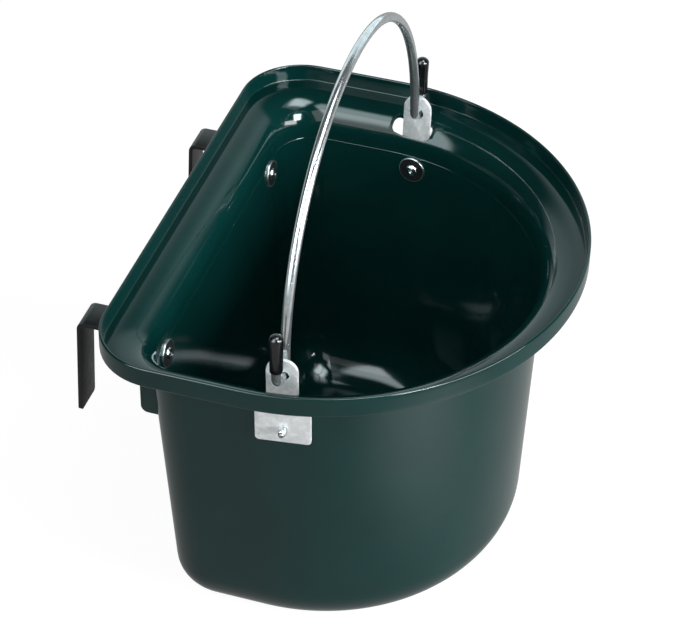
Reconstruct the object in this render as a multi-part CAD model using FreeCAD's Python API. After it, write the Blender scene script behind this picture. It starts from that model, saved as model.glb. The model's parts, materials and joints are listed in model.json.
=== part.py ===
import FreeCAD, Part
import math
import os

# Hanging feed trough: a moulded half-round tub with two riveted hooks behind it,
# two riveted ears at its sides and a wire bail that swings in the ears.
# Millimetres. The origin is in the base plane, below the middle of the bail's pivot line;
# +Z is up, +X runs along the straight back, and the hooks are on the +Y side.
Vector = FreeCAD.Vector

# Rim seen from above: a D with a straight back and a half-round front
rim_top_z = 266.0
rim_half_width = 190.0
rim_back_y = 137.0
rim_corner_radius = 47.2
front_centre_y = 25.0

# Section of the rim: upright lip, flat ledge and the roll down to the wall
lip_thickness = 2.3
lip_root_radius = 1.0
lip_foot_radius = 1.8
ledge_depth = 13.1
shoulder_radius = 24.0

# Wall and floor
wall_thickness = 2.8
wall_side_inset = 31.1
wall_back_inset = 28.9
wall_top_corner_radius = 32.5
wall_side_draft = 2.7
wall_back_draft = 3.2
wall_front_draft = 2.0
wall_foot_corner_radius = 30.0
floor_thickness = 3.2
floor_round_radius = 41.8
floor_corner_radius = 8.0
floor_round_steps = 6

# Ears: T-shaped plates riveted to flat lands on the wall
ear_y = 3.0
ear_rivet_z = 211.7
ear_thickness = 2.5
ear_foot_width = 39.0
ear_foot_bottom_z = 199.2
ear_foot_top_z = 227.2
ear_foot_corner_radius = 3.0
ear_tab_width = 22.0
ear_top_z = 275.5
ear_hole_radius = 5.0
ear_land_height = 0.3
ear_land_margin = 1.5
ear_root_radius = 1.5

# Slots in the roll that the ears come up through
slot_length = 34.0
slot_width = 9.6
slot_shift = 2.0
slot_inner_clearance = 1.5
slot_inner_radius = 2.5
slot_outer_radius = 4.0

# Bail: a round rod bent to an arch, hooked outward through the ears
bail_pivot_z = 260.0
bail_rod_radius = 3.5
bail_height = 421.5
bail_bend_radius = 7.5
bail_eye_run = 3.0
bail_hole_seat = 0.4
bail_end_z = 301.5
bail_end_round = 1.0

# Soft caps on the ends of the rod
cap_open_z = 273.0
cap_wall = 1.05
cap_bore_clearance = 0.05
cap_top_thickness = 2.2
cap_bulge = 0.35

# Hooks of flat strap
hook_corner_gap = 14.4
hook_width = 24.4
hook_thickness = 3.0
hook_top_z = 234.5
hook_reach_y = 166.7
hook_wall_leg_end_z = 190.0
hook_free_leg_end_z = 152.0
hook_free_leg_lean = 2.5
hook_bend_radius = 3.0
hook_corner_radius = 2.5
hook_rivet_z = 213.0

# Moulded cheeks that keep each hook square
cheek_thickness = 5.5
cheek_depth = 14.0
cheek_bottom_z = 170.0
cheek_clearance = 0.5
cheek_round_radius = 5.5
cheek_top_steps = 3

# Blind rivets and their washers
rivet_shank_radius = 2.4
rivet_hole_clearance = 0.1
rivet_head_radius = 4.7
rivet_head_height = 1.9
rivet_tail_radius = 3.2
rivet_tail_length = 5.5
rivet_tail_taper = 0.7
rivet_stem_radius = 1.3
rivet_stem_head_radius = 2.3
rivet_stem_head_length = 2.0
rivet_dimple_depth = 1.2
rivet_stem_clearance = 0.05
washer_radius = 10.5
washer_thickness = 1.5
washer_edge_radius = 0.6
washer_seat_gap = 0.02

# Values that follow from the ones above
wall_top_z = rim_top_z - ledge_depth - shoulder_radius
wall_top_half_width = rim_half_width - wall_side_inset
wall_top_back_y = rim_back_y - wall_back_inset
wall_foot_z = floor_round_radius * (1 - math.sin(math.radians(wall_side_draft)))
hook_x = wall_top_half_width - wall_top_corner_radius - hook_corner_gap
ledge_z = rim_top_z - ledge_depth
ledge_underside_z = ledge_z - wall_thickness
ledge_start = lip_thickness + lip_root_radius
roll_reach = shoulder_radius - wall_thickness


def rounded_wire(corners):
    """Closed outline of straight runs; each corner is (point, radius) with a tangent arc."""
    edges = []
    ends = []
    for i, (point, radius) in enumerate(corners):
        before = corners[i - 1][0] - point
        after = corners[(i + 1) % len(corners)][0] - point
        before.normalize()
        after.normalize()
        if radius == 0:
            ends.append((point, point))
            continue
        half = before.getAngle(after) / 2
        reach = radius / math.tan(half)
        middle = before + after
        middle.normalize()
        top = point + middle * (radius / math.sin(half) - radius)
        start = point + before * reach
        end = point + after * reach
        edges.append(Part.Arc(start, top, end).toShape())
        ends.append((start, end))
    for i in range(len(corners)):
        start = ends[i - 1][1]
        end = ends[i][0]
        if start.distanceToPoint(end) > 1e-6:
            edges.append(Part.LineSegment(start, end).toShape())
    return Part.Wire(Part.__sortEdges__(edges))


def bent_bar(section, place, heading, moves):
    """Carries a flat section along straight runs and round bends.
    A run is (length,), a bend is (radius, degrees, axis): the axis is the one that it turns about."""
    solids = []
    face = section.copy()
    place = Vector(place)
    heading = Vector(heading)
    for move in moves:
        if len(move) == 1:
            step = heading * move[0]
            solids.append(face.extrude(step))
            face.translate(step)
            place = place + step
            continue
        radius, degrees, axis = move
        centre = place + axis.cross(heading) * radius
        solids.append(face.revolve(centre, axis, degrees))
        face.rotate(centre, axis, degrees)
        turn = FreeCAD.Rotation(axis, degrees)
        place = centre + turn.multVec(place - centre)
        heading = turn.multVec(heading)
    return solids[0].multiFuse(solids[1:]).removeSplitter()


def between(low, high, share):
    return low + (high - low) * share


def slope(draft):
    """How far a drafted face goes sideways for each millimetre of height."""
    return math.tan(math.radians(draft))


def wall_at(z):
    """Half width, back, corner radius and front centre of the wall's outside at a height."""
    drop = wall_top_z - z
    half_width = wall_top_half_width - drop * slope(wall_side_draft)
    back_y = wall_top_back_y - drop * slope(wall_back_draft)
    front_y = front_centre_y - wall_top_half_width + drop * slope(wall_front_draft)
    corner = between(wall_top_corner_radius, wall_foot_corner_radius, drop / (wall_top_z - wall_foot_z))
    return half_width, back_y, corner, front_y + half_width


def d_wire(half_width, back_y, corner, centre_y, z):
    """The D outline, counterclockwise from the middle of the back."""
    right = half_width
    side_top = back_y - corner
    bevel = corner * (1 - math.sqrt(0.5))
    points = [Vector(right - corner, back_y, z), Vector(right, side_top, z)]
    points += [Vector(right, centre_y, z), Vector(-right, centre_y, z)]
    points += [Vector(-right, side_top, z), Vector(corner - right, back_y, z)]
    edges = [Part.LineSegment(points[5], points[0]).toShape()]
    edges.append(Part.Arc(points[0], Vector(right - bevel, back_y - bevel, z), points[1]).toShape())
    edges.append(Part.LineSegment(points[1], points[2]).toShape())
    edges.append(Part.Arc(points[2], Vector(0, centre_y - right, z), points[3]).toShape())
    edges.append(Part.LineSegment(points[3], points[4]).toShape())
    edges.append(Part.Arc(points[4], Vector(bevel - right, back_y - bevel, z), points[5]).toShape())
    return Part.Wire(edges)


def tub_body(skin, floor_z):
    """The wall and floor as a full solid, a skin's thickness inside the outer surface."""
    half_width, back_y, corner, centre_y = wall_at(wall_top_z)
    mouth = d_wire(half_width - skin, back_y - skin, corner - skin, centre_y, wall_top_z)
    half_width, back_y, corner, centre_y = wall_at(wall_foot_z)
    lean = math.radians(wall_side_draft)
    radius = floor_round_radius - floor_z
    sections = []
    for i in range(floor_round_steps):
        turn = between(lean, math.pi / 2, i / (floor_round_steps - 1))
        inset = skin + radius * (math.cos(lean) - math.cos(turn))
        z = floor_round_radius - radius * math.sin(turn)
        tight = between(corner - skin, floor_corner_radius, (inset - skin) / radius)
        sections.append(d_wire(half_width - inset, back_y - inset, tight, centre_y, z))
    wall = Part.makeLoft([mouth, sections[0]], True, True)
    foot = Part.makeLoft(sections, True, False)
    return wall.fuse(foot)


def section_face(outline):
    return Part.Face(Part.Wire([edge.toShape() for edge in outline]))


def d_moves(half_width, back_y, corner):
    """Runs and bends that carry a section once round a D from the middle of its back."""
    down = Vector(0, 0, -1)
    side = back_y - corner - front_centre_y
    back_half = half_width - corner
    bend = (corner, 90, down)
    return [(back_half,), bend, (side,), (half_width, 180, down), (side,), bend, (back_half,)]


def lip():
    """Upright lip with a rounded crest and the strip of ledge at its foot, carried round the rim's D."""
    def at(u, z):
        return Vector(0, rim_back_y - u, z)

    crest = lip_thickness / 2
    root = lip_root_radius
    foot = lip_foot_radius
    step = math.sqrt(0.5)
    outline = [
        Part.Arc(at(0, rim_top_z - crest), at(crest, rim_top_z), at(lip_thickness, rim_top_z - crest)),
        Part.LineSegment(at(lip_thickness, rim_top_z - crest), at(lip_thickness, ledge_z + root)),
        Part.Arc(at(lip_thickness, ledge_z + root),
                 at(ledge_start - root * step, ledge_z + root * (1 - step)),
                 at(ledge_start, ledge_z)),
        Part.LineSegment(at(ledge_start, ledge_z), at(ledge_start, ledge_underside_z)),
        Part.LineSegment(at(ledge_start, ledge_underside_z), at(foot, ledge_underside_z)),
        Part.Arc(at(foot, ledge_underside_z),
                 at(foot * (1 - step), ledge_underside_z + foot * (1 - step)),
                 at(0, ledge_underside_z + foot)),
        Part.LineSegment(at(0, ledge_underside_z + foot), at(0, rim_top_z - crest)),
    ]
    moves = d_moves(rim_half_width, rim_back_y, rim_corner_radius)
    return bent_bar(section_face(outline), at(0, rim_top_z), Vector(1, 0, 0), moves)


def ledge():
    """Flat ring between the foot of the lip and the start of the roll; its width follows both D outlines."""
    half_width, back_y, corner, centre_y = wall_at(wall_top_z)
    outer = d_wire(rim_half_width - ledge_start, rim_back_y - ledge_start, rim_corner_radius - ledge_start,
                   front_centre_y, ledge_underside_z)
    inner = d_wire(half_width + roll_reach, back_y + roll_reach, corner + roll_reach,
                   centre_y, ledge_underside_z)
    return Part.Face(outer).cut(Part.Face(inner)).extrude(Vector(0, 0, wall_thickness))


def roll():
    """Quarter-round shoulder from the ledge down to the wall, carried round the wall's own D."""
    half_width, back_y, corner, centre_y = wall_at(wall_top_z)
    quarter = math.pi / 2

    def at(radius, turn):
        return Vector(0, back_y + roll_reach - radius * math.cos(turn), wall_top_z + radius * math.sin(turn))

    outline = [
        Part.Arc(at(shoulder_radius, 0), at(shoulder_radius, quarter / 2), at(shoulder_radius, quarter)),
        Part.LineSegment(at(shoulder_radius, quarter), at(roll_reach, quarter)),
        Part.Arc(at(roll_reach, quarter), at(roll_reach, quarter / 2), at(roll_reach, 0)),
        Part.LineSegment(at(roll_reach, 0), at(shoulder_radius, 0)),
    ]
    place = Vector(0, back_y, wall_top_z)
    return bent_bar(section_face(outline), place, Vector(1, 0, 0), d_moves(half_width, back_y, corner))


def rim():
    return lip().fuse(ledge()).fuse(roll())


def seat_frame(point, outward, lean):
    """Placement of a seat on the wall: x outward, y along the wall, z up the leaning wall."""
    tilt = FreeCAD.Rotation(Vector(0, 1, 0), math.degrees(lean))
    turn = FreeCAD.Rotation(Vector(0, 0, 1), math.degrees(math.atan2(outward.y, outward.x)))
    return FreeCAD.Placement(point, turn.multiply(tilt))


def ear_seat():
    """Right-hand ear: the point where its rivet crosses the wall's outer face."""
    radius, back_y, corner, centre_y = wall_at(ear_rivet_z)
    swing = math.asin((centre_y - ear_y) / radius)
    outward = Vector(math.cos(swing), -math.sin(swing), 0)
    point = Vector(radius * outward.x, ear_y, ear_rivet_z)
    shift = slope(wall_side_draft) - slope(wall_front_draft)
    lean = math.atan(slope(wall_side_draft) + shift * outward.y)
    return seat_frame(point, outward, lean)


def hook_seat():
    """Right-hand hook: the point where its rivet crosses the back wall's outer face."""
    back_y = wall_at(hook_rivet_z)[1]
    lean = math.radians(wall_back_draft)
    return seat_frame(Vector(hook_x, back_y, hook_rivet_z), Vector(0, 1, 0), lean)


def placed(shape, placement):
    moved = shape.copy()
    moved.Placement = placement.multiply(moved.Placement)
    return moved


def turned(outline):
    """Solid of revolution about the x axis; the outline is a list of edges in the xy plane."""
    return section_face(outline).revolve(Vector(0, 0, 0), Vector(1, 0, 0), 360)


def rivet_body(grip_in, grip_out):
    """Hollow blind rivet along x: dome head inside at -grip_in, formed tail outside at grip_out."""
    bore = rivet_stem_radius + rivet_stem_clearance
    head_x = -grip_in
    crown_x = head_x - rivet_head_height
    tail_x = grip_out + rivet_tail_length
    crown_half = between(bore, rivet_head_radius, 0.62)
    outline = [
        Part.LineSegment(Vector(head_x, rivet_shank_radius, 0), Vector(head_x, rivet_head_radius, 0)),
        Part.Arc(Vector(head_x, rivet_head_radius, 0),
                 Vector(between(head_x, crown_x, 0.72), crown_half, 0),
                 Vector(crown_x, bore, 0)),
        Part.LineSegment(Vector(crown_x, bore, 0), Vector(tail_x, bore, 0)),
        Part.LineSegment(Vector(tail_x, bore, 0), Vector(tail_x, rivet_tail_radius - rivet_tail_taper, 0)),
        Part.LineSegment(Vector(tail_x, rivet_tail_radius - rivet_tail_taper, 0),
                         Vector(grip_out + rivet_tail_length / 2, rivet_tail_radius, 0)),
        Part.LineSegment(Vector(grip_out + rivet_tail_length / 2, rivet_tail_radius, 0),
                         Vector(grip_out, rivet_tail_radius, 0)),
        Part.LineSegment(Vector(grip_out, rivet_tail_radius, 0), Vector(grip_out, rivet_shank_radius, 0)),
        Part.LineSegment(Vector(grip_out, rivet_shank_radius, 0), Vector(head_x, rivet_shank_radius, 0)),
    ]
    return turned(outline)


def rivet_stem(grip_in, grip_out):
    """Broken-off pulling stem that stays in the rivet, with its head against the tail."""
    start = rivet_dimple_depth - grip_in - rivet_head_height
    seat = grip_out + rivet_tail_length
    end = seat + rivet_stem_head_length
    outline = [
        Part.LineSegment(Vector(start, 0, 0), Vector(start, rivet_stem_radius, 0)),
        Part.LineSegment(Vector(start, rivet_stem_radius, 0), Vector(seat, rivet_stem_radius, 0)),
        Part.LineSegment(Vector(seat, rivet_stem_radius, 0), Vector(seat, rivet_stem_head_radius, 0)),
        Part.Arc(Vector(seat, rivet_stem_head_radius, 0),
                 Vector(between(seat, end, 0.7), rivet_stem_head_radius * 0.8, 0),
                 Vector(end, rivet_stem_radius, 0)),
        Part.LineSegment(Vector(end, rivet_stem_radius, 0), Vector(end, 0, 0)),
        Part.LineSegment(Vector(end, 0, 0), Vector(start, 0, 0)),
    ]
    return turned(outline)


def washer(grip_in):
    """Flat round washer between the head and the wall."""
    hole = rivet_shank_radius + rivet_hole_clearance
    outer_x = -grip_in
    inner_x = washer_thickness - grip_in
    edge = washer_edge_radius
    bevel = edge * math.sqrt(0.5)
    outline = [
        Part.LineSegment(Vector(outer_x, hole, 0), Vector(inner_x, hole, 0)),
        Part.LineSegment(Vector(inner_x, hole, 0), Vector(inner_x, washer_radius, 0)),
        Part.LineSegment(Vector(inner_x, washer_radius, 0), Vector(outer_x + edge, washer_radius, 0)),
        Part.Arc(Vector(outer_x + edge, washer_radius, 0),
                 Vector(outer_x + edge - bevel, washer_radius - edge + bevel, 0),
                 Vector(outer_x, washer_radius - edge, 0)),
        Part.LineSegment(Vector(outer_x, washer_radius - edge, 0), Vector(outer_x, hole, 0)),
    ]
    return turned(outline)


def rivet_hole(reach):
    """Cutter for the hole that a rivet passes through."""
    radius = rivet_shank_radius + rivet_hole_clearance
    return Part.makeCylinder(radius, 2 * reach, Vector(-reach, 0, 0), Vector(1, 0, 0))


def grip_inside(radius_of_wall):
    """Distance from the wall's outer face to the head's seat; a flat washer bridges a round wall."""
    bridge = 0
    if radius_of_wall:
        inner = radius_of_wall - wall_thickness
        bridge = inner - math.sqrt(inner ** 2 - washer_radius ** 2)
    return wall_thickness + bridge + washer_seat_gap + washer_thickness


def ear_plate():
    """T-shaped plate in its seat's frame, standing on the land."""
    inner = ear_land_height
    foot = ear_foot_width / 2
    tab = ear_tab_width / 2
    low = ear_foot_bottom_z - ear_rivet_z
    step = ear_foot_top_z - ear_rivet_z
    top = ear_top_z - ear_rivet_z
    crown = tab - 0.01
    corners = [
        (Vector(inner, -foot, low), ear_foot_corner_radius),
        (Vector(inner, foot, low), ear_foot_corner_radius),
        (Vector(inner, foot, step), ear_foot_corner_radius / 2),
        (Vector(inner, tab, step), ear_root_radius),
        (Vector(inner, tab, top), crown),
        (Vector(inner, -tab, top), crown),
        (Vector(inner, -tab, step), ear_root_radius),
        (Vector(inner, -foot, step), ear_foot_corner_radius / 2),
    ]
    plate = Part.Face(rounded_wire(corners)).extrude(Vector(ear_thickness, 0, 0))
    hole_z = bail_pivot_z + ear_hole_radius - bail_rod_radius - bail_hole_seat - ear_rivet_z
    hole = Part.makeCylinder(ear_hole_radius, 2 * ear_thickness, Vector(inner - ear_thickness / 2, 0, hole_z),
                             Vector(1, 0, 0))
    return plate.cut(hole).cut(rivet_hole(inner + 2 * ear_thickness))


def ear_land():
    """Flat land under the foot of an ear plate, in the seat's frame."""
    width = ear_foot_width - 2 * ear_land_margin
    low = ear_foot_bottom_z + ear_land_margin - ear_rivet_z
    high = wall_top_z - ear_rivet_z
    root = wall_thickness / 2
    return Part.makeBox(root + ear_land_height, width, high - low, Vector(-root, -width / 2, low))


def ear_slot():
    """Cutter for the slot in the roll, from behind the plate's inner face outward."""
    inner = ear_land_height - slot_inner_clearance
    outer = inner + slot_width
    low = wall_top_z + wall_thickness / 2 - ear_rivet_z
    high = ledge_z + wall_thickness - ear_rivet_z
    half = slot_length / 2
    corners = [
        (Vector(inner, slot_shift - half, low), slot_inner_radius),
        (Vector(inner, slot_shift + half, low), slot_inner_radius),
        (Vector(outer, slot_shift + half, low), slot_outer_radius),
        (Vector(outer, slot_shift - half, low), slot_outer_radius),
    ]
    return Part.Face(rounded_wire(corners)).extrude(Vector(0, 0, high - low))


def cheeks():
    """Pair of moulded cheeks beside the right-hand hook, rooted in the back wall and the roll."""
    back_top = wall_at(wall_top_z)[1]
    back_low = wall_at(cheek_bottom_z)[1]
    root = wall_thickness / 2
    face_y = back_low + cheek_depth
    middle = shoulder_radius - root
    roll_y = back_top + roll_reach
    last = math.acos((roll_y - face_y) / middle)
    outline = [(Vector(0, back_low - root, cheek_bottom_z), 0)]
    for i in range(cheek_top_steps + 1):
        turn = last * i / cheek_top_steps
        outline.append((Vector(0, roll_y - middle * math.cos(turn), wall_top_z + middle * math.sin(turn)), 0))
    outline.append((Vector(0, face_y, cheek_bottom_z), cheek_round_radius))
    cheek = Part.Face(rounded_wire(outline)).extrude(Vector(cheek_thickness, 0, 0))
    offset = hook_width / 2 + cheek_clearance
    pair = []
    for x in (hook_x + offset, hook_x - offset - cheek_thickness):
        one = cheek.copy()
        one.translate(Vector(x, 0, 0))
        pair.append(one)
    return pair


def mirrored(shape):
    return shape.mirror(Vector(0, 0, 0), Vector(1, 0, 0))


def both_sides(shapes):
    return shapes + [mirrored(shape) for shape in shapes]


def tub():
    shell = tub_body(0, 0).cut(tub_body(wall_thickness, floor_thickness)).fuse(rim())
    shell = shell.multiFuse(both_sides([placed(ear_land(), ear_seat())] + cheeks()))
    cutters = both_sides([
        placed(ear_slot(), ear_seat()),
        placed(rivet_hole(4 * wall_thickness), ear_seat()),
        placed(rivet_hole(4 * wall_thickness), hook_seat()),
    ])
    for cutter in cutters:
        shell = shell.cut(cutter)
    return shell.removeSplitter()


def hook():
    """Right-hand hook: the strap starts at the foot of its wall leg and ends at the free leg's tip."""
    start_y = wall_at(hook_wall_leg_end_z)[1]
    lean = math.radians(wall_back_draft)
    up = Vector(0, math.sin(lean), math.cos(lean))
    out = Vector(0, math.cos(lean), -math.sin(lean))
    start = Vector(hook_x, start_y, hook_wall_leg_end_z)
    half = hook_width / 2
    corners = [start - Vector(half, 0, 0), start + Vector(half, 0, 0)]
    corners += [corners[1] + out * hook_thickness, corners[0] + out * hook_thickness]
    section = Part.Face(Part.makePolygon(corners + [corners[0]]))
    inner = hook_bend_radius
    outer = hook_bend_radius + hook_thickness
    axis = Vector(-1, 0, 0)
    first_turn = 90 - math.degrees(lean)
    tip_turn = 90 - hook_free_leg_lean
    wall_leg = (hook_top_z - hook_wall_leg_end_z - outer * (1 - math.sin(lean))) / math.cos(lean)
    bend_start_y = start_y + wall_leg * math.sin(lean)
    bend_centre_y = bend_start_y + outer * math.cos(lean)
    flat = hook_reach_y - bend_centre_y - outer
    free_lean = math.radians(hook_free_leg_lean)
    free_leg = (hook_top_z - outer * (1 - math.sin(free_lean)) - hook_free_leg_end_z) / math.cos(free_lean)
    moves = [(wall_leg,), (outer, first_turn, axis), (flat,), (outer, tip_turn, axis), (free_leg,)]
    strap = bent_bar(section, start, up, moves)
    corner_edges = [edge for edge in strap.Edges if abs(edge.Length - hook_thickness) < 0.01]
    strap = strap.makeFillet(hook_corner_radius, corner_edges)
    return strap.cut(placed(rivet_hole(4 * hook_thickness), hook_seat()))


def pivot_x():
    """Distance of the ear plate's middle plane from the middle of the tub, at the pivot."""
    seat = ear_seat()
    along = (bail_pivot_z - ear_rivet_z)
    point = seat.multVec(Vector(ear_land_height + ear_thickness / 2, 0, along))
    return point.x


def bail():
    """Round rod in the plane of the pivot line, bent from the right-hand end to the left-hand end."""
    out_x = pivot_x()
    bend = bail_bend_radius
    apex_z = bail_height - bail_rod_radius
    rise = apex_z - bail_pivot_z - bend
    arch_radius = (rise ** 2 + out_x ** 2 - bend ** 2) / (2 * (rise + bend))
    arch_z = apex_z - arch_radius
    eye_z = bail_pivot_z + bend
    start_angle = math.degrees(math.asin((eye_z - arch_z) / (arch_radius + bend)))
    leg_x = out_x + bail_eye_run + bend
    leg = bail_end_z - eye_z
    start = Vector(leg_x, ear_y, bail_end_z)
    section = Part.Face(Part.Wire(Part.makeCircle(bail_rod_radius, start, Vector(0, 0, 1))))
    clockwise = Vector(0, 1, 0)
    counter = Vector(0, -1, 0)
    eye_turn = 90 + start_angle
    moves = [
        (leg,),
        (bend, 90, clockwise),
        (bail_eye_run,),
        (bend, 90 - start_angle, clockwise),
        (arch_radius, 180 - 2 * start_angle, counter),
        (bend, 90 - start_angle, clockwise),
        (bail_eye_run,),
        (bend, 90, clockwise),
        (leg,),
    ]
    rod = bent_bar(section, start, Vector(0, 0, -1), moves)
    ends = [edge for edge in rod.Edges if edge.BoundBox.ZMin > bail_end_z - 0.01 and edge.BoundBox.ZLength < 0.01]
    return rod.makeFillet(bail_end_round, ends)


def bail_cap():
    """Right-hand cap: a soft sleeve with a domed end over the tip of the rod."""
    bore = bail_rod_radius + cap_bore_clearance
    mouth = bore + cap_wall
    full = mouth + cap_bulge
    bottom = cap_open_z
    inner_top = bail_end_z + cap_bore_clearance
    top = inner_top + cap_top_thickness
    shoulder = top - full * 0.8
    neck = between(bottom, shoulder, 0.55)
    outline = [
        Part.LineSegment(Vector(bottom, bore, 0), Vector(inner_top, bore, 0)),
        Part.LineSegment(Vector(inner_top, bore, 0), Vector(inner_top, 0, 0)),
        Part.LineSegment(Vector(inner_top, 0, 0), Vector(top, 0, 0)),
        Part.Arc(Vector(top, 0, 0),
                 Vector(shoulder + (top - shoulder) * math.sqrt(0.5), full * math.sqrt(0.5), 0),
                 Vector(shoulder, full, 0)),
        Part.LineSegment(Vector(shoulder, full, 0), Vector(neck, mouth, 0)),
        Part.LineSegment(Vector(neck, mouth, 0), Vector(bottom, mouth, 0)),
        Part.LineSegment(Vector(bottom, mouth, 0), Vector(bottom, bore, 0)),
    ]
    cap = turned(outline)
    leg_x = pivot_x() + bail_eye_run + bail_bend_radius
    upright = FreeCAD.Placement(Vector(leg_x, ear_y, 0), FreeCAD.Rotation(Vector(0, 1, 0), -90))
    return placed(cap, upright)


def save(name, shape):
    shape.exportStep("parts/" + name + ".step")
    print(name, len(shape.Solids), round(shape.Volume), shape.isValid())


os.makedirs("parts", exist_ok=True)
save("tub", tub())
save("bail", bail())

ear_grip_in = grip_inside(wall_at(ear_rivet_z)[0])
ear_grip_out = ear_land_height + ear_thickness
hook_grip_in = grip_inside(0)
pairs = {
    "ear_plate": placed(ear_plate(), ear_seat()),
    "ear_rivet": placed(rivet_body(ear_grip_in, ear_grip_out), ear_seat()),
    "ear_rivet_stem": placed(rivet_stem(ear_grip_in, ear_grip_out), ear_seat()),
    "ear_washer": placed(washer(ear_grip_in), ear_seat()),
    "hook": hook(),
    "hook_rivet": placed(rivet_body(hook_grip_in, hook_thickness), hook_seat()),
    "hook_rivet_stem": placed(rivet_stem(hook_grip_in, hook_thickness), hook_seat()),
    "hook_washer": placed(washer(hook_grip_in), hook_seat()),
    "bail_cap": bail_cap(),
}
for name, shape in pairs.items():
    save(name + "_right", shape)
    save(name + "_left", mirrored(shape))
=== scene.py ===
# %% [markdown]
# Hanging feed trough for a stable or a field gate. It is one moulded plastic tub, two black
# strap hooks behind it, two galvanised ears at its sides and a wire bail with soft caps.
# The engineering model is loaded first, and every visible piece is built over it at the
# same place and size, so nothing has to be fitted afterwards.

# %% Load the frame
import json
import math
import bpy
import bmesh
from mathutils import Matrix, Vector


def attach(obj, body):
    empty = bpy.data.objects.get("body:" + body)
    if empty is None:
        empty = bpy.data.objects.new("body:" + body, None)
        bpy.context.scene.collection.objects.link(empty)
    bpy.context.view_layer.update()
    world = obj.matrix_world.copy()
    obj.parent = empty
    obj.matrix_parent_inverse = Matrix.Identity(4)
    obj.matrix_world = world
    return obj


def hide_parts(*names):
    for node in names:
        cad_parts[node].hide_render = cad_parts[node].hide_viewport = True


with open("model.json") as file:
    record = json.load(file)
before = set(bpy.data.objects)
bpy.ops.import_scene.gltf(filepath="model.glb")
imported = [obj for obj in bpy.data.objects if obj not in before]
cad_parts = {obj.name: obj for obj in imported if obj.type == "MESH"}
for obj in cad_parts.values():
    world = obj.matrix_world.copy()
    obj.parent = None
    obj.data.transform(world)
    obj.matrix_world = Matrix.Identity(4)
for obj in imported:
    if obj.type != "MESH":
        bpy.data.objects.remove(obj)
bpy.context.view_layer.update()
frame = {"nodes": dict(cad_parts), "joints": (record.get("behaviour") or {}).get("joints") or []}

# %% [markdown]
# All sizes are real ones in millimetres, as a maker would write them on the drawing, and one
# factor turns them into metres. The tub is a D in plan: a straight back, two rounded corners,
# short straight sides and a half-round front. Its rim has a thin upright lip, a flat ledge
# behind it and a wide roll that turns down into the wall.

# %% Sizes
MM = 0.001
RIM = dict(top=266.0, half_width=190.0, back=137.0, corner=47.2, centre=25.0)
LIP, LIP_ROOT, LIP_FOOT, LEDGE_DEPTH, ROLL = 2.3, 1.0, 1.8, 13.1, 24.0
WALL, SIDE_INSET, BACK_INSET, FLOOR = 2.8, 31.1, 28.9, 3.2
TOP_CORNER, FOOT_CORNER, FLOOR_CORNER, FLOOR_ROUND = 32.5, 30.0, 8.0, 41.8
LEDGE_CORNER = 40.0
SIDE_DRAFT, BACK_DRAFT, FRONT_DRAFT = (math.tan(math.radians(a)) for a in (2.7, 3.2, 2.0))
LEAN = math.atan(SIDE_DRAFT)
LEDGE = RIM["top"] - LEDGE_DEPTH
WALL_TOP = LEDGE - ROLL
WALL_FOOT = FLOOR_ROUND * (1 - math.sin(LEAN))
pivot = frame["joints"][0]["pos_m"]
print("wall from", WALL_FOOT, "to", WALL_TOP, "pivot", list(pivot))

# %% [markdown]
# A few helpers serve every material. Colours are written as web hex values, which are sRGB,
# and the shader needs linear light, so one function converts them. Another adds a node of
# any kind, sets its properties and fills or wires its inputs in one call, so that a material
# reads as a list of what the finish is made of. A pattern's scale is worked out from the
# width of its lumps in millimetres, and noise stays mostly between 0.3 and 0.7.

# %% Colour and node helpers
NOISE_LOW, NOISE_HIGH = 0.3, 0.7


def linear(hex_colour):
    parts = [int(hex_colour[i:i + 2], 16) / 255 for i in (1, 3, 5)]
    return [c / 12.92 if c <= 0.04045 else ((c + 0.055) / 1.055) ** 2.4 for c in parts] + [1.0]


def scale_for(lump):
    """Scale of a texture whose lumps are about that many millimetres wide."""
    return 1 / (lump * MM)


def add(tree, kind, settings=None, stops=(), **inputs):
    """A new node. Settings are its properties, stops the (position, hex) pairs of a colour
    ramp, and inputs are values or other nodes' sockets; i0, i1 and so on go by number."""
    node = tree.nodes.new(kind)
    for name, value in (settings or {}).items():
        setattr(node, name, value)
    for extra in range(len(stops) - 2):
        node.color_ramp.elements.new(0.5)
    for i, (position, colour) in enumerate(stops):
        node.color_ramp.elements[i].position = position
        node.color_ramp.elements[i].color = linear(colour)
    for name, value in inputs.items():
        by_number = name[0] == "i" and name[1:].isdigit()
        socket = node.inputs[int(name[1:]) if by_number else name.replace("_", " ")]
        if isinstance(value, bpy.types.NodeSocket):
            tree.links.new(value, socket)
        else:
            socket.default_value = value
    return node


def around_middle(dark, light):
    """Colour stops that spread the usual range of noise over two near shades."""
    return [(NOISE_LOW, dark), (NOISE_HIGH, light)]


def new_material(name):
    """A material, its tree and the piece's own coordinates."""
    material = bpy.data.materials.new(name)
    material.use_nodes = True
    tree = material.node_tree
    tree.nodes.clear()
    return material, tree, add(tree, "ShaderNodeTexCoord").outputs["Object"]


print("helpers ready")

# %% [markdown]
# The tub is polypropylene, injection-moulded in a polished steel mould and coloured right
# through. It is dark, smooth and glossy: the eye sees mostly soft reflections of the studio
# on a deep green. Real mouldings are never dead flat, so a very low, wide swell bends the
# reflections a little, a fine orange peel softens them, and handling scuffs vary the gloss.
# The specular level is a little under that of clean plastic, matched to the photograph.

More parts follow.
